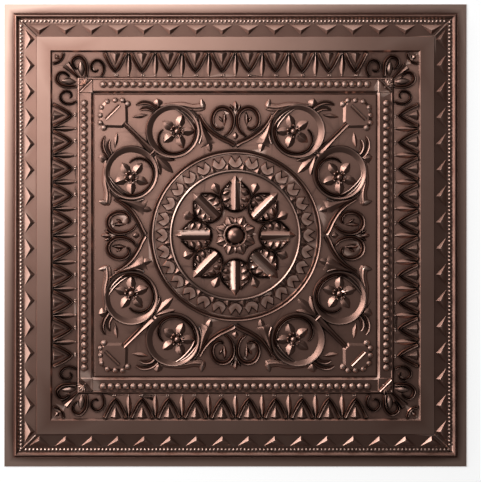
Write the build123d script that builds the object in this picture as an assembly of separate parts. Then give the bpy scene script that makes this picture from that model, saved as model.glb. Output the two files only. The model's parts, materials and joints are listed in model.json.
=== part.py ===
from build123d import *
from build123d.topology import SkipClean
import os
from math import cos, hypot, radians, sin

# Overall sheet, lying flat with its decorated face up. Lengths are millimetres, angles are degrees.
tile_size = 603.0
sheet_thickness = 0.8

# Border section, as plan widths from the tile's edge inwards
flange_width = 11.5
rim_wall_run = 3.6
rim_ridge_width = 0.8
channel_wall_run = 3.6
channel_width = 6.5
tooth_step_run = 0.3
tooth_band_width = 16.2
flat_step_run = 0.6
flat_band_width = 17.6
egg_wall_run = 2.3
egg_floor_width = 32.0
bead_wall_run = 1.4
bead_band_width = 17.9
field_wall_run = 2.8
groove_width = 0.6
groove_rise_run = 1.4

# Heights of the front face above the flange's underside
rim_height = 7.0
channel_height = 3.5
tooth_outer_height = 4.3
tooth_inner_height = 6.3
flat_band_height = 7.0
egg_outer_height = 4.6
egg_inner_height = 2.6
bead_band_height = 4.2
groove_height = 1.7
field_height = 2.6
medallion_floor_height = 1.7

# Pyramid teeth on the sloping tooth band
tooth_pitch = 34.0
tooth_base_width = 33.0
tooth_apex_setback = 9.4
tooth_rise = 4.2

# Egg-and-dart band
egg_pitch = 34.75
egg_corner_length = 64.0
egg_arm_half_width = 14.2
egg_depth = 23.0
egg_rib_width = 6.6
egg_rib_rise = 3.3
egg_leaf_length = 16.5
egg_leaf_width = 12.0
egg_leaf_rise = 2.4
dart_length = 29.5
dart_width = 8.0
dart_wide_point = 0.55
dart_rise = 4.0

# Round beads on the inner band
bead_pitch = 9.83
bead_diameter = 8.8
bead_rise = 3.2
bead_line_inset = 8.3
bead_corner_length = 19.0

# Egg band corners
fan_radius = 15.0
fan_inset = 2.0
fan_leaf_length = 9.5
fan_leaf_width = 7.0
fan_rise = 2.4
corner_rib_length = 26.0
corner_rib_lap = 3.0
corner_rib_outer_width = 11.0
corner_rib_inner_width = 4.0
corner_rib_rise = 2.8
corner_scroll_radius = 9.4
corner_scroll_inset = 35.2
corner_scroll_drop = 15.0
corner_scroll_turn = 215.0
corner_scroll_gap = 1.2
corner_scroll_width = 5.0
corner_scroll_rise = 3.0
corner_tongue_length = 19.0
corner_tongue_shift = 3.0
corner_tongue_width = 8.5
corner_curl_radius = 8.0
corner_curl_inset = 59.0
corner_curl_drop = 18.8
corner_curl_turn = 255.0
corner_curl_start = -40.0
corner_curl_foot = 4.5
corner_curl_width = 4.0
corner_curl_rise = 2.8
corner_block_rise = 1.2
corner_block_wall = 0.9
mitre_bar_length = 24.0
mitre_bar_width = 4.0
mitre_bar_rise = 1.4
mitre_bar_shift = 5.0

# Field corners: an arc of pearls over a keystone, with a stem down to the medallion
pearl_diameter = 6.0
pearl_rise = 2.4
pearl_arc_radius = 27.5
pearl_arc_inset = 29.5
pearl_count = 6
pearl_arc_angle = 122.0
keystone_knob_diameter = 9.0
keystone_knob_rise = 3.0
keystone_knob_shift = 6.0
keystone_near = 5.0
keystone_far = 42.5
keystone_cut = 7.5
keystone_corner = 10.0
keystone_rise = 2.0
keystone_wall = 3.4
field_bar_length = 26.0
field_bar_width = 4.6
field_bar_inset = 22.5
field_bar_rise = 1.6
stem_root_inset = 38.0
stem_width = 6.5
stem_end_width = 11.5
stem_flare_length = 14.0
tie_length = 12.5
tie_width = 3.6
tie_rise = 3.4
tassel_length = 30.5
tassel_drop = 27.0
tassel_width = 10.0
tassel_spread = 29.0
field_rib_rise = 2.7

# Flower in a ring, two at each corner of the field
flower_ring_radius = 35.4
flower_ring_width = 7.6
flower_ring_shift = 1.8
flower_ring_bank = 3.6
flower_ring_x = 81.8
flower_ring_y = 135.6
flower_ring_rise = 3.0
flower_curl_radius = 29.6
flower_curl_width = 4.2
flower_curl_rise = 2.6
flower_curl_start = 20.0
flower_curl_turn = 150.0
petal_count = 5
petal_length = 19.5
petal_root = 4.0
petal_width = 12.0
petal_rise = 3.0
flower_x = 75.7
flower_y = 135.5
flower_boss_radius = 4.2
flower_boss_rise = 3.2

# Heart scrolls, their stems, trumpets and leaves, at the middle of each side of the field
volute_radius = 13.4
volute_x = 16.8
volute_y = 152.3
volute_width = 6.0
volute_rise = 3.2
volute_leaf_length = 17.0
volute_leaf_width = 6.0
volute_tail_x = 12.5
volute_tail_drop = 4.0
volute_tail_width = 4.5
volute_tail_rise = 2.8
volute_tail_length = 20.0
bud_length = 14.0
bud_width = 9.0
bud_root_y = 161.5
heart_stem_width = 6.4
heart_stem_rise = 3.0
heart_stem_top_x = 46.5
heart_stem_top_y = 157.0
heart_stem_bow = 6.5
heart_point_y = 117.4
trumpet_top_width = 6.0
trumpet_width = 20.0
trumpet_length = 40.0
trumpet_lean = 10.0
trumpet_rise = 2.8
brow_outer_reach = 43.0
brow_inner_reach = 38.0
brow_y = 168.0
brow_drop = 2.0
acanthus_rise = 2.4
acanthus_width = 12.0
acanthus_tip_width = 5.0
acanthus_root_width = 9.0
crown_reach = 17.2
crown_heading = 103.0
crown_length = 13.0
crown_width = 13.0
beak_drop = 4.0
beak_length = 15.5
beak_width = 8.6
lobe_heading = 167.0
lobe_length = 31.0
lobe_width = 6.5
lens_leaf_drop = 10.8
lens_leaf_heading = 187.0
lens_leaf_length = 22.0
lens_leaf_width = 6.5

# Medallion at the centre
ring_rib_radius = 109.4
ring_rib_width = 6.0
ring_rib_height = 5.3
scallop_count = 28
scallop_root_radius = 104.6
scallop_length = 17.2
scallop_notch_depth = 7.8
scallop_width = 20.0
scallop_prong_spread = 11.2
scallop_tip_width = 4.4
scallop_rise = 2.2
scallop_wall = 1.3
inner_rib_radius = 84.0
inner_rib_width = 4.4
inner_rib_height = 4.4
palmette_count = 8
palmette_bar_root = 32.0
palmette_bar_length = 47.0
palmette_bar_width = 12.5
palmette_bar_rise = 4.3
palmette_oval_root = 31.0
palmette_oval_length = 39.5
palmette_oval_half_width = 19.4
palmette_oval_rib_width = 3.4
palmette_oval_rise = 2.4
palmette_lobe_length = 11.0
palmette_lobe_width = 8.2
palmette_lobe_rise = 2.6
palmette_lobe_pitch = 8.6
palmette_lobe_count = 3
palmette_lobe_heading = 28.0
small_leaf_root = 57.5
small_leaf_length = 16.5
small_leaf_width = 13.0
small_leaf_rise = 2.8
rosette_petal_length = 19.0
rosette_petal_width = 18.0
rosette_petal_root = 8.6
rosette_petal_rise = 4.4
collar_radius = 14.2
collar_width = 4.6
collar_rise = 4.6
boss_radius = 12.0
boss_rise = 7.2

# Working values
half = tile_size / 2
core = 12.0     # solid depth under the front face while the form is whole
root = 1.2      # how far a raised motif reaches under the face that carries it
lap = 0.25      # how far a band's foot lies under that face
crest_share = 0.55      # share of a band's width that its flat crest has
end_slope = 0.55        # run of a band's sloping end for each millimetre of its rise
round_steps = 12
flat_within = 1e-9


def border_section():
    """Front face of one side as (distance from the tile's centre, height), from the edge to the field."""
    steps = [
        (flange_width, sheet_thickness),
        (rim_wall_run, rim_height),
        (rim_ridge_width, rim_height),
        (channel_wall_run, channel_height),
        (channel_width, channel_height),
        (tooth_step_run, tooth_outer_height),
        (tooth_band_width, tooth_inner_height),
        (flat_step_run, flat_band_height),
        (flat_band_width, flat_band_height),
        (egg_wall_run, egg_outer_height),
        (egg_floor_width, egg_inner_height),
        (bead_wall_run, bead_band_height),
        (bead_band_width, bead_band_height),
        (field_wall_run, groove_height),
        (groove_width, groove_height),
        (groove_rise_run, field_height),
    ]
    points = [(half, sheet_thickness)]
    for run, height in steps:
        points.append((points[-1][0] - run, height))
    return points


section = border_section()
tooth_base = section[6][0]
tooth_tip = section[7][0]
egg_outer = section[10][0]
egg_inner = section[11][0]
bead_outer = section[12][0]
bead_inner = section[13][0]
field_edge = section[16][0]


def front_height(distance):
    """Height of the plain border at a distance from the tile's centre."""
    for (outer, outer_height), (inner, inner_height) in zip(section, section[1:]):
        if inner <= distance <= outer:
            share = (outer - distance) / (outer - inner)
            return outer_height + share * (inner_height - outer_height)
    return field_height


def faceted(top, rim, floor):
    """A solid with the given top facets, a wall down from the rim and a flat floor."""
    rim = [corner for i, corner in enumerate(rim) if corner != rim[i - 1]]
    low = [(x, y, floor) for x, y, z in rim]
    outlines = []
    for facet in top:
        corners = [corner for i, corner in enumerate(facet) if corner != facet[i - 1]]
        if len(corners) > 2:
            outlines.append(corners)
    for i in range(len(rim)):
        after = (i + 1) % len(rim)
        outlines.append([rim[i], rim[after], low[after], low[i]])
    outlines.append(low)
    return Solid(Shell([Face(Wire.make_polygon(outline, close=True)) for outline in outlines]))


def panel(a, b, c, d):
    """One four-sided facet, or two triangles where its corners aren't in one plane."""
    first = Vector(*b) - Vector(*a)
    second = Vector(*c) - Vector(*a)
    if abs(first.cross(second).dot(Vector(*d) - Vector(*a))) < flat_within:
        return [[a, b, c, d]]
    return [[a, b, c], [a, c, d]]


def ridged(path, widths, base, rises):
    """A ridge along a path of points, with a width and a rise at each and sloping ends."""
    left = []
    right = []
    crest = []
    last = len(path) - 1
    for i, (x, y) in enumerate(path):
        ahead = path[min(i + 1, last)]
        behind = path[max(i - 1, 0)]
        run = hypot(ahead[0] - behind[0], ahead[1] - behind[1])
        along_x = (ahead[0] - behind[0]) / run
        along_y = (ahead[1] - behind[1]) / run
        reach = widths[i] / 2
        left.append((x - along_y * reach, y + along_x * reach, base))
        right.append((x + along_y * reach, y - along_x * reach, base))
        rise = rises[i] if widths[i] else 0.0
        back = rise * end_slope * ((i == 0) - (i == last))
        crest.append((x + along_x * back, y + along_y * back, base + rise))
    top = [[left[0], crest[0], right[0]], [left[last], right[last], crest[last]]]
    for i in range(last):
        top += panel(left[i], left[i + 1], crest[i + 1], crest[i])
        top += panel(right[i], crest[i], crest[i + 1], right[i + 1])
    return faceted(top, left + right[::-1], base - root)


def banked(path, width, rise, level, crest=crest_share):
    """A flat-crested band of even width along a path, with sloping sides and ends, on the level under it."""
    feet = ([], [])
    crests = ([], [])
    last = len(path) - 1
    for i, (x, y) in enumerate(path):
        before = Vector(*path[max(i, 1)]) - Vector(*path[max(i, 1) - 1])
        after = Vector(*path[min(i, last - 1) + 1]) - Vector(*path[min(i, last - 1)])
        along = (before.normalized() + after.normalized()).normalized()
        mitre = 1 / along.dot(after.normalized())
        back = rise * end_slope * ((i == 0) - (i == last))
        crest_x = x + along.X * back
        crest_y = y + along.Y * back
        for side in (0, 1):
            reach = (1 - 2 * side) * mitre * width / 2
            spot = (x - along.Y * reach, y + along.X * reach)
            feet[side].append((*spot, level(*spot) - lap))
            spot = (crest_x - along.Y * reach * crest, crest_y + along.X * reach * crest)
            crests[side].append((*spot, level(*spot) + rise))
    (left, right), (left_top, right_top) = feet, crests
    top = panel(left[0], left_top[0], right_top[0], right[0])
    top += panel(left[last], right[last], right_top[last], left_top[last])
    for i in range(last):
        top += panel(left[i], left[i + 1], left_top[i + 1], left_top[i])
        top += panel(left_top[i], left_top[i + 1], right_top[i + 1], right_top[i])
        top += panel(right_top[i], right_top[i + 1], right[i + 1], right[i])
    return faceted(top, left + right[::-1], min(z for x, y, z in left + right) - root)


def plate(outline, wall, base, rise):
    """A flat raised plate inside a counterclockwise outline, with a sloping wall all round."""
    foot = [(x, y, base - lap) for x, y in outline]
    crest = []
    for i, (x, y) in enumerate(outline):
        before = (Vector(x, y) - Vector(*outline[i - 1])).normalized()
        after = (Vector(*outline[(i + 1) % len(outline)]) - Vector(x, y)).normalized()
        inward = Vector(-before.Y - after.Y, before.X + after.X) * (wall / (1 + before.dot(after)))
        crest.append((x + inward.X, y + inward.Y, base + rise))
    top = [crest]
    for i in range(len(foot)):
        after = (i + 1) % len(foot)
        top += panel(foot[i], foot[after], crest[after], crest[i])
    return faceted(top, foot, base - root)


def rib(path, width, base, rise):
    """A ridge of even width and height along a path."""
    return ridged(path, [width] * len(path), base, [rise] * len(path))


def leaf(start, heading, length, width, base, rise, wide_at=0.5):
    """A pointed four-sided leaf from a start point, along a heading in degrees."""
    middle = at(heading, length * wide_at, start)
    return ridged([start, middle, at(heading, length, start)], [0, width, 0], base, [0, rise, 0])


def leaf_between(start, end, width, base, rise, wide_at=0.5):
    """A pointed leaf from one point to another."""
    middle = (start[0] + (end[0] - start[0]) * wide_at, start[1] + (end[1] - start[1]) * wide_at)
    return ridged([start, middle, end], [0, width, 0], base, [0, rise, 0])


def arc_points(centre, radius, start, sweep):
    """Points along an arc, with angles in degrees."""
    count = max(3, round(abs(sweep) / 360 * round_steps))
    return [at(start + sweep * i / count, radius, centre) for i in range(count + 1)]


def on_egg_floor(x, y):
    """Height of the egg band's sloping floor, continued under the walls beside it."""
    share = (max(abs(x), abs(y)) - egg_inner) / egg_floor_width
    return egg_inner_height + share * (egg_outer_height - egg_inner_height)


def on_field(x, y):
    return field_height


def on_medallion(x, y):
    return medallion_floor_height


def ring_rib(centre, radius, width, base, rise):
    """A complete ring with a flat crest and sloping sides."""
    crest = width * crest_share / 2
    profile = Wire.make_polygon(
        [
            (radius - width / 2, 0, base - root),
            (radius + width / 2, 0, base - root),
            (radius + width / 2, 0, base),
            (radius + crest, 0, base + rise),
            (radius - crest, 0, base + rise),
            (radius - width / 2, 0, base),
        ],
        close=True,
    )
    return Pos(centre[0], centre[1], 0) * revolve(Face(profile), Axis.Z)


def dome(centre, diameter, base, rise):
    """A cap of a ball that stands on the base, with its lower part inside it."""
    ball = ((diameter / 2) ** 2 + rise**2) / (2 * rise)
    return Pos(centre[0], centre[1], base + rise - ball) * Sphere(ball)


def both_sides(shapes):
    """The shapes, with their mirror images about the middle of the side."""
    return shapes + [mirror(shape, Plane.YZ) for shape in shapes]


def spaced(pitch, room):
    """Places along a side, centred, as many as the room takes."""
    count = int(room / pitch)
    return [(i - (count - 1) / 2) * pitch for i in range(count)]


def at(heading, distance, centre=(0.0, 0.0)):
    """Point at a distance from a centre, with the heading in degrees from +X."""
    return (centre[0] + distance * cos(radians(heading)), centre[1] + distance * sin(radians(heading)))


def on_diagonal(inset):
    """Point on the left diagonal, at an inset from the field's corner along both sides."""
    return (inset - field_edge, field_edge - inset)


diagonal_plane = Plane((0, 0, 0), x_dir=(1, -1, 0), z_dir=(1, 1, 0))


def flipped(point):
    """The point's mirror image about the left diagonal."""
    return (-point[1], -point[0])


def teeth():
    """Pyramids with their bases on the channel side and their tips inwards."""
    made = []
    reach = tooth_base_width / 2
    apex_y = tooth_base - tooth_apex_setback
    apex_height = front_height(apex_y) + tooth_rise
    tip_y = tooth_tip + 1.4
    for x in spaced(tooth_pitch, 2 * tooth_base):
        left = (x - reach, tooth_base, tooth_outer_height)
        tip = (x, tip_y, tooth_outer_height)
        right = (x + reach, tooth_base, tooth_outer_height)
        apex = (x, apex_y, apex_height)
        ridge_end = (x, tip_y, front_height(tip_y))
        top = [[left, tip, ridge_end], [left, ridge_end, apex], [tip, right, ridge_end],
               [ridge_end, right, apex], [right, left, apex]]
        made.append(faceted(top, [left, tip, right], tooth_outer_height - root))
    return made


def egg_band():
    """Chevrons of bowed ribs with a leaf inside each, and a dart between each pair."""
    made = []
    base = egg_inner_height
    places = spaced(egg_pitch, 2 * (egg_outer - egg_corner_length))
    shares = ((-1.0, 0.0), (-0.5, 0.59), (0.0, 1.0), (0.5, 0.59), (1.0, 0.0))
    for x in places:
        path = [(x + egg_arm_half_width * s, egg_outer - egg_depth * t) for s, t in shares]
        made.append(banked(path, egg_rib_width, egg_rib_rise, on_egg_floor, 0.0))
        leaf_path = [(x, egg_outer), (x, egg_outer - egg_leaf_length)]
        leaf_crest = egg_leaf_rise + egg_outer_height - base
        made.append(ridged(leaf_path, [egg_leaf_width, 0], base, [leaf_crest, 0]))
    for x in places[:-1]:
        made.append(leaf((x + egg_pitch / 2, egg_outer), -90, dart_length, dart_width, base,
                         dart_rise, dart_wide_point))
    return made


def beads():
    """The row of round beads."""
    y = bead_outer - bead_line_inset
    return [dome((x, y), bead_diameter, bead_band_height, bead_rise)
            for x in spaced(bead_pitch, 2 * (y - bead_corner_length))]


def corner_motif():
    """Left corner of the egg band and of the bead band: fan, flared rib, scrolls and block."""
    base = egg_inner_height
    made = []
    fan_centre = (fan_inset - egg_outer, egg_outer - fan_inset)
    fan_crest = fan_rise + egg_outer_height - base
    fan_arc = arc_points(fan_centre, fan_radius - fan_inset, -90, 90)
    made.append(banked(fan_arc, corner_scroll_width, fan_rise, on_egg_floor))
    made.append(leaf(fan_centre, -45, fan_leaf_length, fan_leaf_width, base, fan_crest))
    rib_start = egg_inner / cos(radians(45)) - corner_rib_lap
    start = at(135, rib_start)
    end = at(135, rib_start + corner_rib_length)
    made.append(ridged([start, end], [corner_rib_inner_width, corner_rib_outer_width], base,
                       [corner_rib_rise, corner_rib_rise]))
    scroll = (corner_scroll_inset - egg_outer, egg_outer - corner_scroll_drop)
    scroll_path = [(scroll[0] + corner_scroll_radius, egg_inner + corner_scroll_gap)]
    scroll_path += arc_points(scroll, corner_scroll_radius, 0, corner_scroll_turn)
    curl = (corner_curl_inset - egg_outer, egg_outer - corner_curl_drop)
    curl_path = [(curl[0] + corner_curl_foot, egg_inner + corner_scroll_gap)]
    curl_path += arc_points(curl, corner_curl_radius, corner_curl_start, corner_curl_turn)
    for route, width, rise in ((scroll_path, corner_scroll_width, corner_scroll_rise),
                               (curl_path, corner_curl_width, corner_curl_rise)):
        made.append(banked(route, width, rise, on_egg_floor))
        made.append(banked([flipped(point) for point in route], width, rise, on_egg_floor))
    tongue_root = (scroll[0] + corner_tongue_shift, egg_inner + corner_scroll_gap)
    tongue_tip = (scroll[0] + corner_tongue_shift / 2, tongue_root[1] + corner_tongue_length)
    tongue = leaf_between(tongue_root, tongue_tip, corner_tongue_width, base, corner_scroll_rise)
    made += [tongue, mirror(tongue, diagonal_plane)]
    middle = (bead_outer + bead_inner) / 2
    side = (bead_outer - bead_inner - corner_block_wall) / 2
    square = [(-middle - side, middle - side), (-middle + side, middle - side),
              (-middle + side, middle + side), (-middle - side, middle + side)]
    made.append(plate(square, corner_block_wall, bead_band_height, corner_block_rise))
    reach = mitre_bar_length / 2 * cos(radians(45))
    centre = middle - mitre_bar_shift
    bar = [(-centre - reach, centre - reach), (-centre + reach, centre + reach)]
    made.append(rib(bar, mitre_bar_width, bead_band_height, corner_block_rise + mitre_bar_rise))
    return made


def field_corner():
    """Arc of pearls round a keystone plate, with a bar on it, and the stem with its tassel."""
    base = field_height
    made = []
    centre = on_diagonal(pearl_arc_inset)
    for i in range(pearl_count):
        heading = 135 + pearl_arc_angle * (0.5 - i / (pearl_count - 1))
        made.append(dome(at(heading, pearl_arc_radius, centre), pearl_diameter, base, pearl_rise))
    far = keystone_far - field_edge
    cut = far - keystone_cut
    near = keystone_near - field_edge
    corner = near + keystone_corner
    half_outline = [(cut, -near), (far, -near - keystone_cut / 2), (far, -cut)]
    outline = half_outline + [flipped(point) for point in half_outline[::-1]]
    outline += [(near, -corner), (corner, -near)]
    made.append(plate(outline[::-1], keystone_wall, base, keystone_rise))
    knob = (near + keystone_knob_shift, -far)
    made += [dome(spot, keystone_knob_diameter, base, keystone_knob_rise) for spot in (knob, flipped(knob))]
    bar = on_diagonal(field_bar_inset)
    reach = field_bar_length / 2 * cos(radians(45))
    bar_ends = [(bar[0] - reach, bar[1] - reach), (bar[0] + reach, bar[1] + reach)]
    made.append(rib(bar_ends, field_bar_width, base, keystone_rise + field_bar_rise))
    foot = ring_rib_radius + ring_rib_width
    tie = foot + stem_flare_length + tassel_drop
    path = [on_diagonal(stem_root_inset), at(135, tie + stem_flare_length), at(135, tie)]
    made.append(ridged(path, [stem_width, stem_width, stem_end_width], base, [field_rib_rise] * 3))
    reach = tie_length / 2
    knot = at(135, tie)
    made.append(rib([at(45, -reach, knot), at(45, reach, knot)], tie_width, base, tie_rise))
    for turned in (-tassel_spread, 0, tassel_spread):
        made.append(leaf(knot, 315 + turned, tassel_length, tassel_width, base, field_rib_rise))
    return made


def flower_ring():
    """The scroll round the flower: its outer edge is a circle, and its inner wall is wider on the left."""
    middle = field_height - root + (root + flower_ring_rise) / 2
    height = root + flower_ring_rise
    inner = flower_ring_radius - flower_ring_width
    lean = height * end_slope / 2
    outside = Cone(flower_ring_radius + lean, flower_ring_radius - lean, height)
    inside = Cone(inner - flower_ring_bank * root / height, inner + flower_ring_bank, height)
    centre = Pos(-flower_ring_x, flower_ring_y, middle)
    return centre * (outside - Pos(flower_ring_shift, 0, 0) * inside)


def flower():
    """A five-petalled flower inside its ring and curl."""
    base = field_height
    ring_centre = (-flower_ring_x, flower_ring_y)
    made = [flower_ring()]
    curl = arc_points(ring_centre, flower_curl_radius, flower_curl_start, -flower_curl_turn)
    curl.append(at(flower_curl_start - flower_curl_turn - 30, flower_curl_radius * 0.7, ring_centre))
    made.append(banked(curl, flower_curl_width, flower_curl_rise, on_field))
    for i in range(petal_count):
        heading = 360 / petal_count * i
        start = at(heading, petal_root, (-flower_x, flower_y))
        made.append(leaf(start, heading, petal_length, petal_width, base, petal_rise, 0.55))
    made.append(dome((-flower_x, flower_y), 2 * flower_boss_radius, base, flower_boss_rise))
    return made


def heart():
    """Left half of the heart: its volute, stem, trumpet and acanthus leaf."""
    base = field_height
    centre = (-volute_x, volute_y)
    made = [ring_rib(centre, volute_radius, volute_width, base, volute_rise)]
    leaf_root = (centre[0], centre[1] - volute_leaf_length / 2)
    made.append(leaf(leaf_root, 90, volute_leaf_length, volute_leaf_width, base, volute_rise))
    tail = (centre[0] + volute_radius, centre[1] - volute_tail_drop)
    tail_end = (-volute_tail_x, tail[1] - volute_tail_length)
    made.append(banked([tail, tail_end], volute_tail_width, volute_tail_rise, on_field))
    top = (-heart_stem_top_x, heart_stem_top_y)
    middle_y = (heart_stem_top_y + heart_point_y) / 2
    middle = (-heart_stem_top_x / 2 - heart_stem_bow, middle_y - heart_stem_bow)
    made.append(banked([top, middle, (0.0, heart_point_y)], heart_stem_width, heart_stem_rise, on_field))
    mouth = (trumpet_lean - heart_stem_top_x, heart_stem_top_y - trumpet_length)
    made.append(ridged([top, mouth], [trumpet_top_width, trumpet_width], base, [trumpet_rise] * 2))
    brow = [(-flower_ring_x - brow_outer_reach, brow_y - brow_drop), (-flower_ring_x, brow_y),
            (-flower_ring_x + brow_inner_reach, brow_y)]
    brow_widths = [acanthus_tip_width, acanthus_width, acanthus_root_width]
    made.append(ridged(brow, brow_widths, base, [acanthus_rise] * 3))
    crown_root = (-flower_ring_x - crown_reach, brow_y - brow_drop)
    made.append(leaf(crown_root, crown_heading, crown_length, crown_width, base, acanthus_rise))
    beak_root = (brow[2][0] + brow_drop, brow_y - beak_drop)
    made.append(leaf(beak_root, crown_heading, beak_length, beak_width, base, acanthus_rise, 0.4))
    made.append(leaf(crown_root, lobe_heading, lobe_length, lobe_width, base, acanthus_rise))
    lens_root = (-flower_ring_x - flower_ring_radius + 4, brow_y - lens_leaf_drop)
    made.append(leaf(lens_root, lens_leaf_heading, lens_leaf_length, lens_leaf_width, base, acanthus_rise))
    return made


def bud():
    """The bud between the two volutes."""
    return [leaf((0.0, bud_root_y), 90, bud_length, bud_width, field_height, volute_rise)]


def scallop(heading):
    """One scallop of the medallion's outer ring: a rounded tip inwards and a notch between two prongs."""
    wide = scallop_root_radius - scallop_length * 0.5
    half_outline = [(scallop_root_radius, scallop_prong_spread / 2), (wide, scallop_width / 2),
                    (scallop_root_radius - scallop_length, scallop_tip_width / 2)]
    outline = [(along, -across) for along, across in half_outline]
    outline += [(along, across) for along, across in half_outline[::-1]]
    outline.append((scallop_root_radius - scallop_notch_depth, 0.0))
    turned = [at(heading, along, at(heading + 90, across)) for along, across in outline]
    return plate(turned[::-1], scallop_wall, medallion_floor_height, scallop_rise)


def palmette(base):
    """An oval rib with lobes inside it and a gabled bar along its middle, pointing up."""
    middle = palmette_oval_root + palmette_oval_length / 2
    wide = palmette_oval_half_width
    half_oval = [(-palmette_bar_width / 2, palmette_oval_root + palmette_oval_length),
                 (-wide, middle + palmette_oval_length * 0.12),
                 (-wide * 0.78, middle - palmette_oval_length * 0.28)]
    oval = half_oval + [(0.0, palmette_oval_root)] + [(-x, y) for x, y in half_oval[::-1]]
    made = [banked(oval, palmette_oval_rib_width, palmette_oval_rise, on_medallion)]
    for i in range(palmette_lobe_count):
        start = (-wide * (0.9 - 0.18 * abs(i - 1)), middle - palmette_lobe_pitch * (i - 0.7))
        lobe = leaf(start, palmette_lobe_heading, palmette_lobe_length, palmette_lobe_width, base,
                    palmette_lobe_rise)
        made += both_sides([lobe])
    path = [(0.0, palmette_bar_root + palmette_bar_length * share) for share in (0.0, 0.82, 1.0)]
    made.append(ridged(path, [palmette_bar_width, palmette_bar_width, 0], base, [palmette_bar_rise] * 3))
    return made


def small_leaves(heading, base):
    """The pointed leaf between two palmettes, and the rosette's petal below it."""
    small = leaf(at(heading, small_leaf_root), heading, small_leaf_length, small_leaf_width, base,
                 small_leaf_rise, 0.65)
    petal = leaf(at(heading, rosette_petal_root), heading, rosette_petal_length, rosette_petal_width, base,
                 rosette_petal_rise, 0.45)
    return [small, petal]


def medallion():
    """The parts of the round medallion that reach into the upper quarter."""
    base = medallion_floor_height
    made = [ring_rib((0, 0), ring_rib_radius, ring_rib_width, field_height, ring_rib_height - field_height)]
    made.append(ring_rib((0, 0), inner_rib_radius, inner_rib_width, base, inner_rib_height - base))
    reach = 50
    for i in range(scallop_count):
        heading = (90 + 360 / scallop_count * i) % 360
        if abs(heading - 90) < reach:
            made.append(scallop(heading))
    pointing_up = palmette(base)
    for i in range(palmette_count):
        heading = 360 / palmette_count * i
        if abs(heading - 90) < reach:
            made.extend(Rot(0, 0, heading - 90) * piece for piece in pointing_up)
        between = heading + 180 / palmette_count
        if abs(between - 90) < reach:
            made.extend(small_leaves(between, base))
    made.append(ring_rib((0, 0), collar_radius, collar_width, base, collar_rise))
    made.append(dome((0, 0), 2 * boss_radius, base, boss_rise))
    return made


def wedge():
    """The space of one quarter of the tile, between its two diagonals."""
    corners = [(0, 0, -core), (half, half, -core), (-half, half, -core)]
    return extrude(Face(Wire.make_polygon(corners, close=True)), amount=3 * core, dir=(0, 0, 1))


def plain_side():
    """The border of one side and the field to the centre, without its motifs, as a solid form."""
    profile = section + [(0.0, field_height), (0.0, -core), (half, -core)]
    face = Face(Wire.make_polygon([(-half, d, z) for d, z in profile], close=True))
    block = extrude(face, amount=tile_size, dir=(1, 0, 0))
    rim_radius = ring_rib_radius - ring_rib_width / 2
    drop = field_height - medallion_floor_height
    recess = Pos(0, 0, medallion_floor_height + drop / 2) * Cone(rim_radius - 2 * drop, rim_radius, drop)
    cover = Pos(0, 0, field_height + core / 2) * Cylinder(rim_radius, core)
    return block - recess - cover


def quarter_form():
    """The solid form of one quarter with all its motifs."""
    inside = teeth() + egg_band() + beads() + bud() + both_sides(flower() + heart())
    across = both_sides(corner_motif() + field_corner()) + medallion()
    space = wedge()
    trimmed = [motif & space for motif in across]
    trimmed = [piece for cut in trimmed if cut for piece in cut.solids()]
    return (plain_side() & space).solid().fuse(*inside, *trimmed)


def tile_sheet():
    """The whole sheet: four quarters of the form, less the same form one thickness lower."""
    form = quarter_form()
    skin = form - form.moved(Location((0, 0, -sheet_thickness)))
    turned = [Rot(0, 0, 90 * i) * skin for i in range(4)]
    return turned[0].fuse(*turned[1:], glue=True)


os.makedirs("parts", exist_ok=True)
with SkipClean():
    export_step(tile_sheet(), "parts/tile_sheet.step")
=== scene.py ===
import bpy
import json
from math import cos, hypot, pi, radians, sin
from mathutils import Matrix, Vector

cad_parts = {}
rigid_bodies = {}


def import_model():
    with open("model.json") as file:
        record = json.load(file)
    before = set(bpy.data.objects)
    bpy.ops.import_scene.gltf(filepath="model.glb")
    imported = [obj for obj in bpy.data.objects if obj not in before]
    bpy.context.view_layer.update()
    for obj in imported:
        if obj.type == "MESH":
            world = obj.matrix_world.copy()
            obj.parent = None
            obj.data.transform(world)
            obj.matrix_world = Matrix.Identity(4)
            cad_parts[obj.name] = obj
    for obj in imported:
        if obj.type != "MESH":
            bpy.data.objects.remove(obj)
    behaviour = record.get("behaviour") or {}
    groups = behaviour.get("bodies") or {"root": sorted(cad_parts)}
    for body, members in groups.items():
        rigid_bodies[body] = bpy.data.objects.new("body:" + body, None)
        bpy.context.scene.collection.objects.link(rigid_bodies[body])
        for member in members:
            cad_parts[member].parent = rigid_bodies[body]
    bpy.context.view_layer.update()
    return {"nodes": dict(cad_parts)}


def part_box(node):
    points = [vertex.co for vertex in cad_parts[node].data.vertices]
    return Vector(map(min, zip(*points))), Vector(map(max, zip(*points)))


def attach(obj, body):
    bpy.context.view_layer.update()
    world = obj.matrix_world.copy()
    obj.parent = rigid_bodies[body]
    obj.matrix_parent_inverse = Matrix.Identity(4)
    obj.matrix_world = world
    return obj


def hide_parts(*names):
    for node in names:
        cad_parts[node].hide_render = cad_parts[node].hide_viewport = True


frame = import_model()
node_low, node_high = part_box("tile_sheet")

# The sheet is modelled in millimetres and set to metres when it is whole
MM = 1000.0
HALF = (node_high[0] - node_low[0]) * MM / 2
SHEET = 0.8

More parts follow.
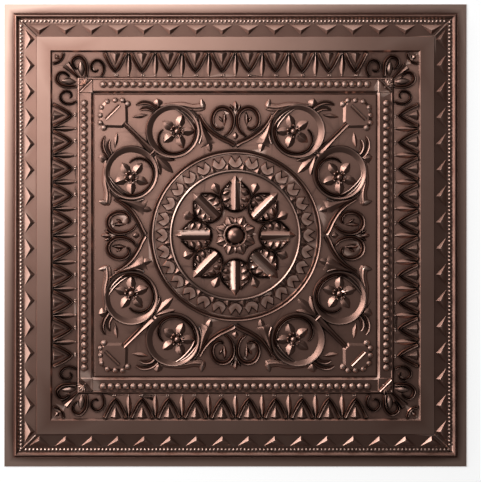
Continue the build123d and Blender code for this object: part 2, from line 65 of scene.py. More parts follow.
# Border section from the edge inwards: plan width of each step and the height that it reaches
BORDER = (
    (11.0, 0.8),    # flange
    (0.7, 0.6),     # crease at the foot of the rim
    (0.7, 0.8),
    (2.7, 6.4),     # outer wall of the rim
    (0.4, 7.0),
    (0.6, 7.0),     # ridge
    (0.4, 6.4),
    (3.0, 3.5),     # wall down to the bead channel
    (6.5, 3.5),     # bead channel
    (0.3, 4.3),
    (16.2, 6.3),    # sloping tooth band
    (0.6, 7.0),
    (17.6, 7.0),    # flat band
    (2.3, 4.6),     # wall down to the egg band
    (32.0, 2.6),    # egg band floor
    (1.3, 4.4),     # wall up to the bead band
    (1.0, 4.9),
    (0.7, 4.9),     # fine rim line
    (0.8, 4.2),
    (13.2, 4.2),    # bead band
    (1.4, 4.5),
    (3.1, 1.7),     # wall down to the groove round the field
    (0.6, 1.7),
    (1.5, 2.6),
)
TOOTH_BASE = 275.7
TOOTH_TIP = 261.0
TOOTH_PEAK = 266.5
TOOTH_WIDTH = 33.0
TOOTH_RISE = 4.2
EGG_OUTER = 238.4
EGG_INNER = 206.4
BEAD_LINE = 196.7
SMALL_BEAD_LINE = 279.0
FIELD = 2.6
MEDALLION = 1.7
MEDALLION_RADIUS = 106.2
MITRE_OUTER = 281.5
MITRE_INNER = 259.5
EGG_CORNER = 64.0       # length that the corner scrolls take at each end of a side
DROP_LINE = 208.6
BEAD_CORNER = 19.0      # length that the corner block takes at each end of a bead row
BLOCK_SIDE = 18.0
BLOCK_RISE = 0.8
SCALLOPS = 28
PALMETTES = 8
TOOTH_PITCH = 34.0
EGG_PITCH = 34.75
BEAD_PITCH = 9.83
SMALL_BEAD_PITCH = 5.0
CORE = 24.0     # solid depth under the front face while the form is whole
SINK = 2.5      # how far a motif reaches into the face that carries it
LAP = 0.04      # how far a motif's rim lies under that face
END_SLOPE = 0.55        # run of a band's sloping end for each millimetre of its rise
CUT_PITCH = 43.7        # distance between the cuts that keep the form's faces short
CUT_SHIFT = 0.07        # share of that distance by which they all lie off the tile's middle
SMOOTH_ANGLE = 19.0     # degrees; steeper edges stay crisp

# Sections of a raised band: share of the half width, and share of the rise
ROUND = ((-1, 0), (-0.62, 0.74), (0, 1), (0.62, 0.74), (1, 0))
GABLE = ((-1, 0), (-0.14, 0.92), (0, 1), (0.14, 0.92), (1, 0))
FLUTED = ((-1, 0), (-0.64, 1), (0, 0.42), (0.64, 1), (1, 0))
BANK = ((-1, 0), (-0.3, 0.45), (0.4, 0.95), (0.7, 1), (1, 0))
LEAFY = ((-1, 0), (-0.75, 0.5), (-0.35, 0.55), (0, 1), (0.35, 0.55), (0.75, 0.5), (1, 0))

# The underside repeats the face's motifs a little lower and plainer, so the sheet is nowhere too thin
underside = False
UNDER_BEAD = (0.8, 0.7)     # share of a bead's diameter and of its rise
UNDER_MARGIN = 10.0         # how far its form reaches past the sheet's edge


def clear_selection():
    """Back to object mode with nothing selected."""
    if bpy.context.mode != "OBJECT":
        bpy.ops.object.mode_set(mode="OBJECT")
    bpy.ops.object.select_all(action="DESELECT")


def pick(*pieces):
    """Only these pieces are selected, and the first is active."""
    clear_selection()
    for piece in pieces:
        piece.select_set(True)
    bpy.context.view_layer.objects.active = pieces[0]


def border_height(distance):
    """Height of the plain border at a distance from the tile's centre."""
    outer = HALF
    level = SHEET
    for run, height in BORDER:
        inner = outer - run
        if distance >= inner:
            return level + (outer - distance) / run * (height - level)
        outer = inner
        level = height
    return FIELD


# Grounds: each gives the height that carries a motif at a point of the plan
def on_border(x, y):
    return border_height(max(abs(x), abs(y)))


def on_egg_floor(x, y):
    """Height of the egg band's sloping floor, carried on evenly past its walls."""
    outer = border_height(EGG_OUTER - 1)
    inner = border_height(EGG_INNER + 1)
    share = (EGG_OUTER - 1 - max(abs(x), abs(y))) / (EGG_OUTER - EGG_INNER - 2)
    return outer + (inner - outer) * share


def on_field(x, y):
    return FIELD


def on_medallion(x, y):
    return MEDALLION


def at(heading, distance, centre=(0.0, 0.0)):
    """Point at a distance from a centre, with the heading in degrees from +X."""
    return (centre[0] + distance * cos(radians(heading)), centre[1] + distance * sin(radians(heading)))


def smooth(stations, per_span=3):
    """Samples of a smooth curve through stations of (x, y, width, rise)."""
    samples = []
    last = len(stations) - 1
    if underside:
        per_span = 1
    for i in range(last):
        before = stations[max(i - 1, 0)]
        start = stations[i]
        end = stations[i + 1]
        after = stations[min(i + 2, last)]
        for step in range(per_span):
            t = step / per_span
            samples.append(tuple(
                0.5 * (2 * b + (c - a) * t + (2 * a - 5 * b + 4 * c - d) * t**2
                       + (3 * b - a - 3 * c + d) * t**3)
                for a, b, c, d in zip(before, start, end, after)))
    samples.append(tuple(stations[last]))
    return [(x, y, max(width, 0.0), max(rise, 0.0)) for x, y, width, rise in samples]


def arc(centre, radius, start, sweep, width, rise, steps=12):
    """Stations along an arc; radius and width may each be a pair, from the start to the end."""
    radii = radius if isinstance(radius, tuple) else (radius, radius)
    widths = width if isinstance(width, tuple) else (width, width)
    stations = []
    for i in range(steps + 1):
        t = i / steps
        x, y = at(start + sweep * t, radii[0] + (radii[1] - radii[0]) * t, centre)
        stations.append((x, y, widths[0] + (widths[1] - widths[0]) * t, rise))
    return stations


def closed_solid(piece, depth):
    """Gives an open face patch a body below it, with its normals outwards."""
    pick(piece)
    bpy.ops.object.mode_set(mode="EDIT")
    bpy.ops.mesh.select_all(action="SELECT")
    bpy.ops.mesh.remove_doubles(threshold=0.001)
    bpy.ops.mesh.extrude_region_move(TRANSFORM_OT_translate={"value": (0, 0, -depth)})
    bpy.ops.mesh.select_all(action="SELECT")
    bpy.ops.mesh.normals_make_consistent(inside=False)
    bpy.ops.object.mode_set(mode="OBJECT")


def band(stations, section, ground):
    """A raised band along stations of (x, y, width, rise), standing on the ground."""
    if underside:
        lowest = min(level for share, level in section if level > 0)
        section = ((-1, 0), (0, lowest), (1, 0))
    rows = len(stations) - 1
    columns = len(section) - 1
    clear_selection()
    bpy.ops.mesh.primitive_grid_add(x_subdivisions=rows, y_subdivisions=columns, size=2)
    piece = bpy.context.object
    ring = hypot(stations[0][0] - stations[-1][0], stations[0][1] - stations[-1][1]) < 0.001
    for vertex in piece.data.vertices:
        i = round((vertex.co.x + 1) / 2 * rows)
        share, level = section[round((vertex.co.y + 1) / 2 * columns)]
        ahead = stations[1 if ring and i == rows else min(i + 1, rows)]
        behind = stations[rows - 1 if ring and i == 0 else max(i - 1, 0)]
        x, y, width, rise = stations[i]
        run = hypot(ahead[0] - behind[0], ahead[1] - behind[1]) or 1.0
        along_x = (ahead[0] - behind[0]) / run
        along_y = (ahead[1] - behind[1]) / run
        reach = share * width / 2
        steep = 1 if underside and level else level
        back = 0 if ring else steep * rise * END_SLOPE * ((i == 0) - (i == rows))
        x += along_x * back - along_y * reach
        y += along_y * back + along_x * reach
        vertex.co = (x, y, ground(x, y) - LAP + level * rise)
    closed_solid(piece, SINK)
    return piece


def flow(stations, section, ground, per_span=3):
    """A band along the smooth curve through its stations."""
    return band(smooth(stations, per_span), section, ground)


def leaf(start, end, width, rise, ground, section=GABLE, wide_at=0.5, blunt=0.0):
    """A pointed leaf from start to end; blunt is the share of its width that its root keeps."""
    beyond = 1 - wide_at
    shares = (0.0, 0.5 * wide_at, wide_at, wide_at + 0.45 * beyond, wide_at + 0.8 * beyond, 1.0)
    widths = (blunt, 0.55 + 0.45 * blunt, 1.0, 0.78, 0.34, 0.0)
    rises = (0.0, 0.8, 1.0, 0.85, 0.5, 0.0)
    run_x = end[0] - start[0]
    run_y = end[1] - start[1]
    stations = [(start[0] + run_x * s, start[1] + run_y * s, width * w, rise * r)
                for s, w, r in zip(shares, widths, rises)]
    return band(stations, section, ground)


def dome(spot, diameter, rise, level, segments=16, rings=8):
    """A round cap of a ball that stands on a level."""
    if underside:
        diameter *= UNDER_BEAD[0]
        rise *= UNDER_BEAD[1]
        segments = 5
        rings = 3
    ball = ((diameter / 2) ** 2 + rise**2) / (2 * rise)
    clear_selection()
    bpy.ops.mesh.primitive_uv_sphere_add(segments=segments, ring_count=rings, radius=ball,
                                         location=(spot[0], spot[1], level + rise - ball))
    piece = bpy.context.object
    settle(piece)
    return piece


def settle(piece):
    """Puts a piece's place into its mesh."""
    pick(piece)
    bpy.ops.object.transform_apply(location=True, rotation=True, scale=True)


def plate(outline, rise, wall, ground_level):
    """A flat-topped raised shape with sloping walls."""
    clear_selection()
    bpy.ops.mesh.primitive_circle_add(vertices=len(outline), radius=1, fill_type="NGON")
    piece = bpy.context.object
    for vertex, (x, y) in zip(piece.data.vertices, outline):
        vertex.co = (x, y, ground_level - LAP)
    closed_solid(piece, SINK)
    pick(piece)
    bpy.ops.object.mode_set(mode="EDIT")
    bpy.ops.mesh.select_all(action="DESELECT")
    bpy.ops.object.mode_set(mode="OBJECT")
    for face in piece.data.polygons:
        face.select = face.normal.z > 0.9
    bpy.ops.object.mode_set(mode="EDIT")
    bpy.ops.mesh.inset(thickness=wall, depth=rise)
    bpy.ops.object.mode_set(mode="OBJECT")
    return piece


def copied(piece, matrix):
    """A copy with a mesh of its own, placed by a matrix."""
    twin = bpy.data.objects.new(piece.name, piece.data.copy())
    bpy.context.collection.objects.link(twin)
    twin.data.transform(matrix)
    if matrix.determinant() < 0:
        twin.data.flip_normals()
    return twin


# Mirror images about the side's middle and about the left diagonal
MIRROR = Matrix.Diagonal((-1, 1, 1, 1))
FLIP = Matrix(((0, -1, 0, 0), (-1, 0, 0, 0), (0, 0, 1, 0), (0, 0, 0, 1)))


def turn(degrees):
    """Matrix of a turn about the tile's centre."""
    return Matrix.Rotation(radians(degrees), 4, "Z")


def mirrored(pieces):
    """The pieces and their mirror images about the side's middle."""
    return pieces + [copied(piece, MIRROR) for piece in pieces]


def flipped(pieces):
    """The pieces and their mirror images about the left diagonal."""
    return pieces + [copied(piece, FLIP) for piece in pieces]


def all_round(pieces, count=4):
    """The pieces, repeated evenly about the tile's centre."""
    return pieces + [copied(piece, turn(360 / count * i)) for piece in pieces for i in range(1, count)]


def row(piece, pitch, room):
    """Copies of a piece modelled at x = 0, spaced evenly along the top side."""
    count = int(room / pitch)
    places = [(i - (count - 1) / 2) * pitch for i in range(count)]
    copies = [copied(piece, Matrix.Translation((x, 0, 0))) for x in places]
    bpy.data.objects.remove(piece)
    return copies


def joined(pieces, name):
    """One object from pieces that don't touch."""
    pick(*pieces)
    if len(pieces) > 1:
        bpy.ops.object.join()
    pieces[0].name = name
    return pieces[0]


def combine(form, other, operation):
    """Adds the other solid to the form, or takes it away, and removes it."""
    pick(form)
    step = form.modifiers.new("combine", "BOOLEAN")
    step.operation = operation
    step.solver = "MANIFOLD"
    step.object = other
    bpy.ops.object.modifier_apply(modifier=step.name)
    bpy.data.objects.remove(other)


def blank(margin):
    """The square block with the stepped border, its top face set in and moved step by step."""
    clear_selection()
    bpy.ops.mesh.primitive_cube_add(size=1, location=(0, 0, SHEET - CORE / 2))
    form = bpy.context.object
    form.name = "formed_sheet"
    side = 2 * (HALF + margin)
    form.scale = (side, side, CORE)
    settle(form)
    bpy.ops.object.mode_set(mode="EDIT")
    bpy.ops.mesh.select_all(action="DESELECT")
    bpy.ops.object.mode_set(mode="OBJECT")
    for face in form.data.polygons:
        face.select = face.normal.z > 0.9
    bpy.ops.object.mode_set(mode="EDIT")
    level = SHEET
    for run, height in BORDER:
        bpy.ops.mesh.inset(thickness=run + margin, depth=height - level)
        level = height
        margin = 0.0
    bpy.ops.object.mode_set(mode="OBJECT")
    return form


def recess():
    """The round space of the medallion, wider at the top."""
    clear_selection()
    drop = FIELD - MEDALLION
    depth = 10 * drop
    bpy.ops.mesh.primitive_cone_add(vertices=96, radius1=MEDALLION_RADIUS, radius2=MEDALLION_RADIUS + depth,
                                    depth=depth, location=(0, 0, MEDALLION + depth / 2))
    piece = bpy.context.object
    settle(piece)
    return piece


def tooth():
    """A three-sided pyramid with its base on the bead channel's side and its point inwards."""
    clear_selection()
    bpy.ops.mesh.primitive_cone_add(vertices=3, radius1=1, radius2=0, depth=1, end_fill_type="NOTHING")
    piece = bpy.context.object
    foot = border_height(TOOTH_BASE) - LAP
    corners = [(-TOOTH_WIDTH / 2, TOOTH_BASE, foot), (TOOTH_WIDTH / 2, TOOTH_BASE, foot),
               (0, TOOTH_TIP, border_height(TOOTH_TIP) - LAP)]
    peak = (0, TOOTH_PEAK, border_height(TOOTH_PEAK) + TOOTH_RISE)
    for vertex in piece.data.vertices:
        vertex.co = peak if vertex.co.z > 0 else corners.pop()
    closed_solid(piece, SINK)
    return piece


def mitre():
    """The raised line on the diagonal of the tooth band."""
    start = at(135, MITRE_OUTER * 2**0.5)
    end = at(135, MITRE_INNER * 2**0.5)
    return band([(*start, 2.6, 0.9), (*end, 2.6, 0.9)], ROUND, on_border)


def chevron():
    """The bowed double rib of the egg band."""
    stations = []
    count = 8
    for i in range(count + 1):
        share = 2 * i / count - 1
        drop = 25.0 * (1 - abs(share) ** 1.3)
        stations.append((14.4 * share, EGG_OUTER - 0.2 - drop, 5.4, 3.2))
    return band(stations, FLUTED, on_egg_floor)


def chevron_leaf():
    """The broad gabled leaf in the mouth of a chevron."""
    stations = [(0, EGG_OUTER - 0.3, 15, 0.2), (0, EGG_OUTER - 2.2, 14, 2.4), (0, 230, 8, 2.6),
                (0, 221.5, 0, 0)]
    return band(stations, GABLE, on_egg_floor)


def dart():
    """The slim leaf between two chevrons."""
    stations = [(0, EGG_OUTER - 0.5, 2.2, 1.0), (0, 232, 4.6, 2.4), (0, 224, 8.2, 3.0), (0, 217, 7.4, 2.7),
                (0, 211, 4.2, 1.6), (0, 207.6, 0, 0)]
    return band(stations, GABLE, on_egg_floor)


def tooth_pieces():
    return all_round(row(tooth(), TOOTH_PITCH, 2 * TOOTH_BASE))


def egg_pieces():
    """Three sets of the egg band's pieces, so that those of one set don't touch."""
    room = 2 * (EGG_OUTER - EGG_CORNER)
    ribs = row(chevron(), EGG_PITCH, room)
    leaves = row(chevron_leaf(), EGG_PITCH, room)
    darts = row(dart(), EGG_PITCH, room - EGG_PITCH)
    drop = dome((0, DROP_LINE), 3.4, 1.1, border_height(DROP_LINE), 6, 5)
    half_drop = copied(drop, Matrix.Translation((2.6, 0, 0)))
    drops = row(drop, EGG_PITCH / 2, room - EGG_PITCH / 2 + 1)
    drops += row(half_drop, EGG_PITCH, room)
    return all_round(ribs + drops), all_round(leaves), all_round(darts)


def bead_pieces():
    """The rim's small beads, which the underside doesn't repeat, and the large ones of the bead band."""
    small = dome((0, SMALL_BEAD_LINE), 4.5, 2.0, border_height(SMALL_BEAD_LINE), 6, 4)
    large = dome((0, BEAD_LINE), 9.7, 4.3, border_height(BEAD_LINE), 10, 6)
    smalls = row(small, SMALL_BEAD_PITCH, 2 * SMALL_BEAD_LINE + 2.4)
    smalls.pop()
    larges = row(large, BEAD_PITCH, 2 * (BEAD_LINE - BEAD_CORNER))
    return [] if underside else all_round(smalls), all_round(larges)


def corner_pieces():
    """Scrolls of the egg band's corner, left of the side; three sets."""
    fan_centre = (1.5 - EGG_OUTER, EGG_OUTER - 1.5)
    fan = band(arc(fan_centre, 13.0, -94, 98, 4.2, 2.8), FLUTED, on_egg_floor)
    seed = leaf(at(-45, 2, fan_centre), at(-45, 10.5, fan_centre), 7, 2.6, on_egg_floor)
    flare = flow([(-203.2, 204.2, 3.4, 2.0), (-209, 210, 4.5, 2.8), (-215, 216.5, 7.5, 3.0),
                  (-221, 223, 12, 2.4)], FLUTED, on_egg_floor)
    scroll = flow([(-194.2, 207, 4.6, 2.4), (-193.8, 216, 5.2, 3.2), (-195.5, 226, 5.6, 3.4),
                   (-202.5, 232.8, 5.6, 3.4), (-210.5, 230, 5.0, 3.2), (-212.2, 223.5, 4.2, 3.0),
                   (-208, 217.5, 3.0, 2.4), (-205.2, 216.4, 1.6, 1.4)], FLUTED, on_egg_floor)
    tongue = leaf((-200, 207.5), (-201.5, 227), 9, 2.4, on_egg_floor, ROUND, 0.45, 0.3)
    curl = flow([(-174.8, 207.4, 3.4, 2.2), (-171.6, 213, 4.0, 2.8), (-171.6, 221, 4.2, 3.0),
                 (-176.5, 227.2, 4.2, 3.0), (-183, 227.6, 4.0, 3.0), (-187.6, 222, 3.8, 2.8),
                 (-186.6, 215.5, 3.4, 2.6), (-181.5, 213.2, 2.6, 2.2), (-178.6, 216.2, 1.6, 1.4)],
                FLUTED, on_egg_floor)
    lone = [fan, flare]
    pairs = flipped([scroll, curl])
    inner = [seed] + flipped([tongue])
    return all_round(lone), all_round(pairs), all_round(inner)


def block_pieces():
    """The small square at the bead band's corner, with its bar and rays."""
    level = border_height(BEAD_LINE)
    low = BEAD_LINE - 2.2 - BLOCK_SIDE / 2
    high = low + BLOCK_SIDE
    base = plate([(-high, low), (-low, low), (-low, high), (-high, high)], BLOCK_RISE, 0.9, level)

    def on_block(x, y):
        return level + BLOCK_RISE

    bar = band([(-187, 203.0, 4.2, 1.6), (-203.0, 187, 4.2, 1.6)], FLUTED, on_block)
    rays = [leaf((-194, 196), at(heading, 11, (-194, 196)), 3.0, 1.3, on_block, GABLE, 0.6)
            for heading in (90, 112.5, 135, 157.5, 180)]
    hub = dome((-193.4, 195.4), 4.0, 1.6, level + BLOCK_RISE, 10, 6)
    return all_round([base]), all_round([bar] + rays[::2]), all_round([hub] + rays[1::2])


def field_corner_pieces():
    """Pearls round a keystone plate, its bar, and the stem down to the medallion."""
    outline = [(-140.2, 173), (-139.6, 147.5), (-147, 139.8), (-170.5, 140.4), (-177, 147), (-177, 167),
               (-168, 177.5), (-147, 177.5)]
    keystone = plate(outline, 2.0, 3.6, FIELD)

    def on_plate(x, y):
        return FIELD + 1.4

    pearls = flipped([dome(spot, 7.4, 3.0, FIELD + 0.8, 10, 6)
                      for spot in ((-175.7, 147), (-175.6, 156.5), (-174.0, 166.6))])
    knobs = flipped([dome((-171.3, 140.6), 9.4, 3.2, FIELD, 10, 6)])
    bar = band([(-169.2, 151.0, 5.0, 2.0), (-150.6, 169.8, 5.0, 2.0)], FLUTED, on_plate)
    stem = flow([(-146.5, 147.5, 6.5, 2.0), (-135, 136, 6.5, 2.6), (-122.5, 123.5, 7.5, 2.8),
                 (-113, 114, 10.5, 2.8), (-104, 104.8, 12.5, 2.8)], FLUTED, on_field)
    tie = band([(-112, 103.6, 3.4, 3.6), (-103.4, 112.2, 3.4, 3.6)], ROUND, on_field)
    lobes = [leaf((-104.5, 105), end, width, 2.6, on_field, GABLE, 0.55, 0.5)
             for end, width in (((-97, 78), 9), ((-80.5, 80.8), 11), ((-78, 97.5), 9))]
    return (all_round([keystone]), all_round(pearls + knobs + [tie]), all_round([bar, stem] + [lobes[1]]),
            all_round([lobes[0], lobes[2]]))


# Centres of the flower and of the ring round it, left of the top heart
FLOWER = (-75.7, 135.5)
RING = (-81.8, 135.6)


def flower_pieces():
    """A five-petalled flower, the scroll that winds round it, and its stamens."""
    stations = []
    steps = 40
    for i in range(steps + 1):
        heading = 360 * i / steps
        wide = 7.6 - 1.8 * cos(radians(heading))
        x, y = at(heading, 35.6 - wide / 2, RING)
        stations.append((x, y, wide, 3.0))
    ring = band(stations, tuple((-s, r) for s, r in BANK[::-1]), on_field)
    turns = ((28, 31.2, 2.0, 1.6), (0, 30.0, 4.0, 2.6), (-30, 29.6, 4.4, 2.8), (-60, 29.6, 4.4, 2.8),
             (-90, 29.0, 4.4, 2.8), (-118, 26.8, 4.2, 2.8), (-145, 22.6, 4.0, 2.8), (-170, 17.4, 3.6, 2.6),
             (-192, 12.6, 2.0, 1.6))
    curl = flow([(*at(heading, radius, RING), width, rise) for heading, radius, width, rise in turns],
                FLUTED, on_field)
    petals = []
    for i in range(5):
        heading = 1.3 + 72 * i
        petals.append(leaf(at(heading, 2.0, FLOWER), at(heading, 23.6, FLOWER), 13.2, 3.6, on_field, GABLE,
                           0.52, 0.3))
    eye = dome(FLOWER, 7.6, 5.2, FIELD, 16, 10)
    stamens = [dome(at(18 + 36 * i, 7.8, FLOWER), 2.3, 2.0, FIELD + 2.2, 6, 5) for i in range(10)]
    echo = flow(arc(RING, 38.2, 52, -78, (1.2, 3.0), 2.0), ROUND, on_field, 2)
    return [ring, petals[0], petals[2]], [curl, petals[1], petals[3]], [petals[4], echo], [eye] + stamens


def heart_pieces():
    """Left half of the heart: volute, stem, trumpet and acanthus, in four sets that don't touch."""
    volute = flow([(-14.2, 129.4, 3.0, 1.6), (-7.4, 134.6, 4.8, 2.8), (-3.4, 144, 5.4, 3.2),
                   (-3.2, 155, 6.0, 3.4), (-8.6, 163.6, 6.6, 3.6), (-17, 166.4, 6.8, 3.6),
                   (-25.4, 163, 6.6, 3.6), (-30.2, 153.6, 6.2, 3.4), (-29.0, 144, 5.6, 3.2),
                   (-23.6, 138.8, 4.8, 3.0), (-17.8, 138.6, 3.8, 2.6), (-15.6, 142, 2.0, 1.6)],
                  FLUTED, on_field)
    flame = leaf((-14.8, 142.5), (-14.0, 161.2), 6.4, 3.2, on_field, GABLE, 0.5, 0.2)
    spur = leaf((-16.5, 147), (-21.5, 155.5), 4.2, 2.2, on_field)
    stem = flow([(-47.5, 158, 4.6, 2.2), (-41, 146.5, 5.6, 2.8), (-31.5, 135.5, 6.4, 3.0),
                 (-18, 126.6, 7.0, 3.2), (-7.5, 121.8, 7.4, 3.2), (-0.2, 117.4, 8.0, 3.2)],
                FLUTED, on_field)
    bell = flow([(-47.5, 157, 5.0, 1.2), (-45, 146, 7.6, 2.2), (-41.5, 133, 11.5, 2.8), (-37, 122, 17, 3.0),
                 (-35.4, 117.6, 22, 1.0)], GABLE, on_field)
    clapper = leaf((-35.5, 121), (-32.2, 108.4), 9.5, 2.2, on_field, GABLE, 0.35, 0.5)
    brow = flow([(-98, 168.5, 4.0, 1.2), (-88, 168.6, 8.0, 2.2), (-70, 169.2, 10.0, 2.6),
                 (-56, 166.6, 9.6, 2.6), (-45, 167, 11.0, 2.6), (-39.6, 168.5, 7.0, 1.4)], LEAFY, on_field)
    beak = leaf((-41.6, 163), (-44.6, 178.6), 8.6, 2.4, on_field, ROUND, 0.4, 0.5)
    lobe_high = flow([(-129.6, 169.6, 2.0, 1.0), (-124, 172.4, 5.0, 2.4), (-116.5, 173.2, 5.8, 2.6),
                      (-108, 170.4, 5.6, 2.6), (-101, 165, 4.0, 1.8)], FLUTED, on_field)
    lobe_low = flow([(-125, 163, 2.4, 1.0), (-119.5, 165.4, 5.4, 2.4), (-112.5, 165, 5.8, 2.6),
                     (-105.5, 161, 4.6, 2.0)], FLUTED, on_field)
    crown = leaf((-99, 165.5), (-102.6, 178.6), 13.5, 2.8, on_field, GABLE, 0.5, 0.3)
    lens = leaf((-113, 157.2), (-135, 154.1), 6.6, 2.4, on_field, GABLE, 0.45)
    ribs = [flow([(-78 + 6 * i, 165 - i, 1.6, 1.2), (-69 + 6.5 * i, 159 - i, 2.6, 2.2),
                  (-58 + 6 * i, 147 - i, 2.6, 2.2), (-52.5 + 4.4 * i, 136 - 2 * i, 2.0, 1.4)],
                 ROUND, on_field)
            for i in range(2)]
    bud_leaf = leaf((-2.4, 161.5), (-6.8, 171.2), 4.6, 2.2, on_field)
    return ([volute, crown, lens, bell, brow], [flame, lobe_high, clapper, ribs[0], bud_leaf],
            [stem, spur, lobe_low, beak], [ribs[1]])


def middle_pieces():
    """The bud on the heart and the small diamond below it."""
    bud = leaf((0, 161), (0, 175.4), 7.6, 3.4, on_field)
    diamond = leaf((0, 135), (0, 124.6), 9.0, 2.0, on_field)
    return [bud, diamond]


def scallop():
    """One scallop of the medallion's outer ring, its rounded tip inwards."""
    half_outline = [(3.1, 104.6), (6.0, 95.4), (4.9, 91.6), (3.2, 88.8), (1.4, 87.4)]
    outline = [at(90 - turned, radius) for turned, radius in half_outline]
    outline += [at(90 + turned, radius) for turned, radius in reversed(half_outline)]
    outline.append(at(90, 96.8))
    return plate(outline[::-1], 2.2, 1.3, MEDALLION)


def palmette_pieces():
    """The gabled bar, its oval leaf and the lobes inside, pointing up."""
    bar = band([(0, 31.4, 11.6, 0.0), (0, 33.6, 12.4, 4.0), (0, 70.5, 12.4, 4.2), (0, 79.2, 0, 0)],
               GABLE, on_medallion)
    half_oval = [(6.4, 70.5), (12.6, 64.6), (17.6, 58.6), (19.4, 52), (18.2, 44.5), (14.6, 38), (8.2, 33),
                 (0, 31)]
    stations = [(x, y, 3.2, 2.4) for x, y in half_oval]
    stations += [(-x, y, 3.2, 2.4) for x, y in half_oval[-2::-1]]
    oval = flow(stations, FLUTED, on_medallion)
    lobes = []
    for root, tip, width in (((12.5, 61.5), (7.0, 67.0), 5.6), ((17.2, 53), (6.8, 58.6), 8.6),
                             ((16.6, 44.6), (6.8, 49), 8.2), ((11, 37.4), (6.8, 40.4), 6.0)):
        lobes.append(leaf(root, tip, width, 2.6, on_medallion, GABLE, 0.45, 0.5))
    return [bar], [oval], mirrored(lobes)


def arrow_leaf():
    """The short leaf between two palmettes."""
    return leaf((0, 57.5), (0, 74.2), 12.6, 3.0, on_medallion, GABLE, 0.62, 0.2)


def rosette_pieces():
    """Pointed petals round a domed boss, with small sepals between."""
    petal = leaf((0, 8), (0, 27.6), 16.5, 4.4, on_medallion, LEAFY, 0.5, 0.6)
    sepal = leaf((0, 12), (0, 23.6), 9.0, 3.2, on_medallion, GABLE, 0.5, 0.6)
    boss = dome((0, 0), 25.0, 7.6, MEDALLION, 40, 20)
    collar = band(arc((0, 0), 14.2, 0, 360, 4.0, 5.0, 40), ROUND, on_medallion)
    return petal, sepal, boss, collar


def motif_layers():
    """All motifs in layers; those of one layer don't touch, and each layer is added in one step."""
    ribs, leaves, darts = egg_pieces()
    small_beads, large_beads = bead_pieces()
    corner_lone, corner_pairs, corner_inner = corner_pieces()
    block, block_bar, block_hub = block_pieces()
    keystone, pearls, stem, lobes = field_corner_pieces()
    flowers = [all_round(flipped(pieces)) for pieces in flower_pieces()]
    hearts = [all_round(mirrored(pieces)) for pieces in heart_pieces()]
    bars, ovals, blades = [all_round(pieces, PALMETTES) for pieces in palmette_pieces()]
    petal, sepal, boss, collar = rosette_pieces()
    outer_rib = band(arc((0, 0), 109.3, 0, 360, 6.4, 2.8, 96), FLUTED, on_field)
    inner_rib = band(arc((0, 0), 84.0, 0, 360, 4.4, 2.8, 80), ROUND, on_medallion)
    scallops = all_round([scallop()], SCALLOPS)
    gap_leaf = copied(leaf((0, 84), (0, 94), 9, 1.8, on_medallion, GABLE, 0.3, 0.8), turn(180 / SCALLOPS))
    gap_leaves = all_round([gap_leaf], SCALLOPS)
    between = turn(180 / PALMETTES)
    arrows = all_round([copied(arrow_leaf(), between)], PALMETTES)
    petals = all_round([copied(petal, between)], PALMETTES)
    sepals = all_round([sepal], PALMETTES)
    return [
        (tooth_pieces() + ribs + small_beads + large_beads + block + keystone + flowers[0] + [outer_rib]
         + scallops + bars),
        (all_round([mitre()]) + leaves + corner_lone + block_bar + pearls + flowers[1] + [inner_rib] + ovals
         + [collar]),
        darts + corner_pairs + block_hub + stem + flowers[2] + gap_leaves + blades + petals,
        corner_inner + lobes + flowers[3] + arrows + sepals,
        hearts[0] + [boss],
        hearts[1],
        hearts[2],
        hearts[3] + all_round(middle_pieces()),
    ]


def cut_across(form):
    """Cuts the form by upright planes both ways, so that no face of it is long."""
    pick(form)
    bpy.ops.object.mode_set(mode="EDIT")
    count = int(2 * HALF / CUT_PITCH)
    for i in range(count):
        place = (i - (count - 1) / 2 + CUT_SHIFT) * CUT_PITCH
        for side in ((1, 0, 0), (0, 1, 0)):
            bpy.ops.mesh.select_all(action="SELECT")
            bpy.ops.mesh.bisect(plane_co=[place * n for n in side], plane_no=side)
    bpy.ops.object.mode_set(mode="OBJECT")


def embossed(margin):
    """The block with the stepped border, the recess and all motifs."""
    form = blank(margin)
    combine(form, recess(), "DIFFERENCE")
    cut_across(form)
    for i, pieces in enumerate(motif_layers()):
        combine(form, joined(pieces, "motifs_%d" % i), "UNION")
    return form


def formed_sheet():
    """The face's form, less the plainer form of the underside one thickness lower; in metres."""
    global underside
    face = embossed(0.0)
    underside = True
    hollow = embossed(UNDER_MARGIN)
    hollow.data.transform(Matrix.Translation((0, 0, -SHEET)))
    combine(face, hollow, "DIFFERENCE")
    face.data.transform(Matrix.Scale(1 / MM, 4))
    return face


sheet = formed_sheet()
for left_over in list(bpy.data.objects):
    if left_over.type == "MESH" and left_over.name not in frame["nodes"] and left_over != sheet:
        bpy.data.objects.remove(left_over)
pick(sheet)
bpy.ops.object.shade_smooth_by_angle(angle=radians(SMOOTH_ANGLE))
even = sheet.modifiers.new("even", "WEIGHTED_NORMAL")
even.keep_sharp = True
bpy.ops.object.modifier_apply(modifier=even.name)


def node(tree, kind, **values):
    """A new shader node with its settings."""
    made = tree.nodes.new(kind)
    for key, value in values.items():
        setattr(made, key, value)
    return made


def ramp(tree, source, low, high, low_colour=(0, 0, 0, 1), high_colour=(1, 1, 1, 1)):
    """A value turned into a colour that runs from one to the other between low and high."""
    made = node(tree, "ShaderNodeValToRGB")
    ends = made.color_ramp.elements
    ends[0].position = low
    ends[0].color = low_colour
    ends[1].position = high
    ends[1].color = high_colour
    tree.links.new(source, made.inputs["Fac"])
    return made.outputs["Color"]


# Colours of the finish: the copper coat from its darker to its lighter clouds, the painted shade in the
# hollows, the painted highlight on the crests
COPPER_DARK = (0.39, 0.212, 0.165, 1)
COPPER_LIGHT = (0.45, 0.256, 0.202, 1)
# Painted shade: near-black brown for the hollows and the feet of the motifs, where shade falls
PAINTED_SHADE = (0.012, 0.008, 0.0075, 1)
# Painted highlight: bright copper for the crests, where they catch the light
PAINTED_HIGHLIGHT = (0.86, 0.58, 0.48, 1)


